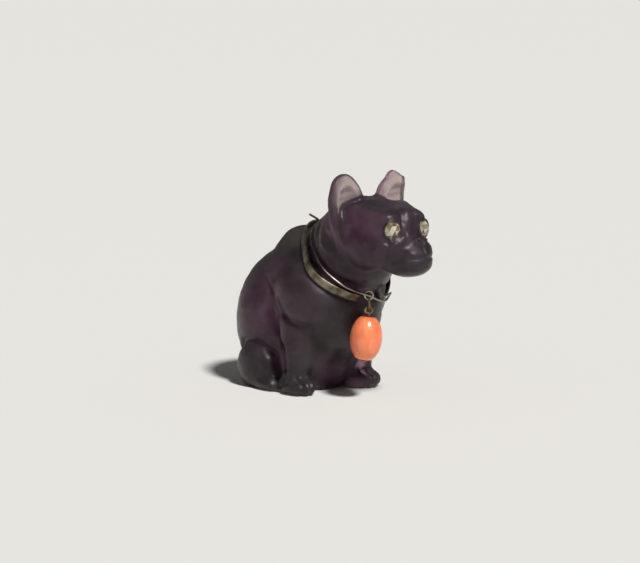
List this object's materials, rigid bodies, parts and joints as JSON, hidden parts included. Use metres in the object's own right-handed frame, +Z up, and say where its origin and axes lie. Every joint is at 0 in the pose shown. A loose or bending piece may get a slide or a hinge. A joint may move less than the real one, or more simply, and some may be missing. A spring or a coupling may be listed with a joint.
{
  "type": "carved amethyst bulldog with collar and coral bead",
  "caption": "Small see-through purple stone carving of a sitting bulldog with rose-cut stone eyes, a gilt wire collar and a hanging coral bead.",
  "frame": {"origin": "on the standing surface, under the middle of the object's box", "axes": "+Z up, the dog looks along -Y, +X towards the dog's own left"},
  "size_m": [0.0192, 0.038, 0.035],
  "materials": {
    "amethyst": "satin polish, see-through where thin",
    "pale_gem": "faceted and polished",
    "gilt_metal": "tarnished gilding, worn bright at the edges",
    "coral": "glossy polish"
  },
  "bodies": {
    "root": {"bulldog": "amethyst", "eye_right_gem": "pale_gem", "eye_left_gem": "pale_gem", "eye_right_setting": "gilt_metal", "eye_left_setting": "gilt_metal", "collar_band": "gilt_metal", "collar_wire": "gilt_metal", "front_ring": "gilt_metal", "pendant_link": "gilt_metal", "bead_pin": "gilt_metal", "coral_bead": "coral"}
  },
  "joints": []
}
